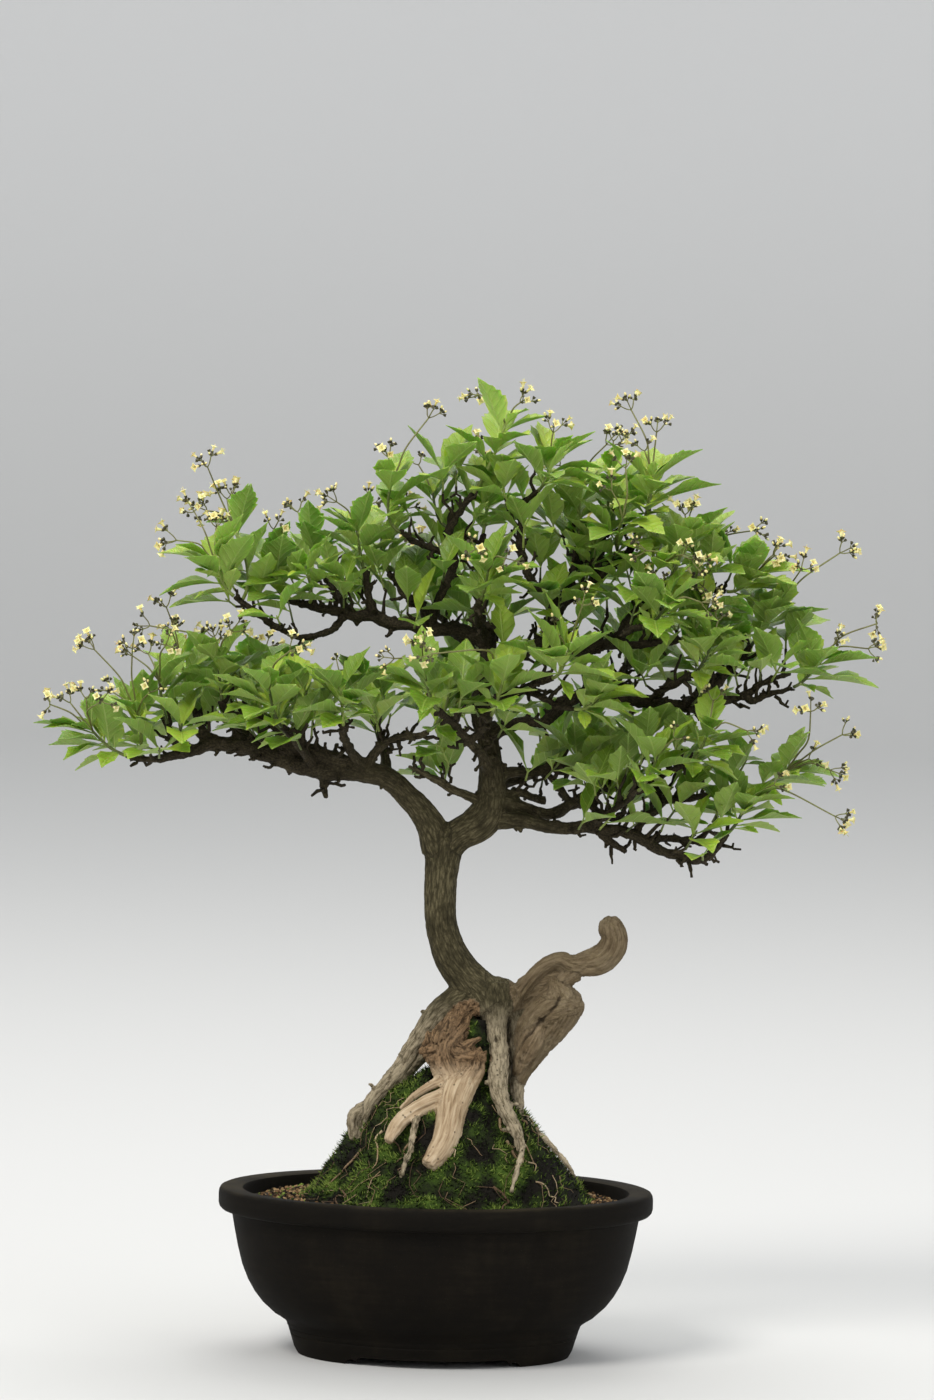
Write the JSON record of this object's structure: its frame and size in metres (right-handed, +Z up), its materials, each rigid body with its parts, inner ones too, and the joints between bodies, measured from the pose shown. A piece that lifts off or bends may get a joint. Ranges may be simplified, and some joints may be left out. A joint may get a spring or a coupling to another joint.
{
  "type": "japanese premna bonsai in a pot",
  "caption": "Flowering bonsai tree with exposed roots and driftwood over a mossy mound, in a lobed oval stoneware pot on bracket feet.",
  "frame": {"origin": "under the middle of the whole piece, on the plane that the pot's feet stand on", "axes": "+Z up, +X along the pot's length towards the driftwood, -Y towards the front of the tree"},
  "size_m": [0.5152, 0.2506, 0.5888],
  "materials": {
    "stoneware": "unglazed, smooth matte",
    "black_plastic": "matte",
    "soil": "coarse fired grit",
    "moss": "damp moss with fine roots",
    "bark": "finely fissured bark and bare pale wood",
    "foliage": "glossy green blades"
  },
  "bodies": {
    "root": {"pot": "stoneware", "drain_screen_left": "black_plastic", "drain_screen_right": "black_plastic", "soil": "soil", "moss_mound": "moss", "trunk_and_roots": "bark", "spray_01": "foliage", "spray_02": "foliage", "spray_03": "foliage", "spray_04": "foliage", "spray_05": "foliage", "spray_06": "foliage", "spray_07": "foliage", "spray_08": "foliage", "spray_09": "foliage", "spray_10": "foliage", "spray_11": "foliage", "spray_12": "foliage", "spray_13": "foliage", "spray_14": "foliage", "spray_15": "foliage", "spray_16": "foliage", "spray_17": "foliage", "spray_18": "foliage", "spray_19": "foliage", "spray_20": "foliage", "spray_21": "foliage", "spray_22": "foliage", "spray_23": "foliage", "spray_24": "foliage", "spray_25": "foliage", "spray_26": "foliage", "spray_27": "foliage", "spray_28": "foliage", "spray_29": "foliage", "spray_30": "foliage", "spray_31": "foliage", "spray_32": "foliage", "spray_33": "foliage", "spray_34": "foliage", "spray_35": "foliage", "spray_36": "foliage", "spray_37": "foliage", "spray_38": "foliage", "spray_39": "foliage", "spray_40": "foliage", "spray_41": "foliage", "spray_42": "foliage", "spray_43": "foliage", "spray_44": "foliage", "spray_45": "foliage", "spray_46": "foliage", "spray_47": "foliage", "spray_48": "foliage", "spray_49": "foliage", "spray_50": "foliage", "spray_51": "foliage", "spray_52": "foliage", "spray_53": "foliage"}
  },
  "joints": []
}
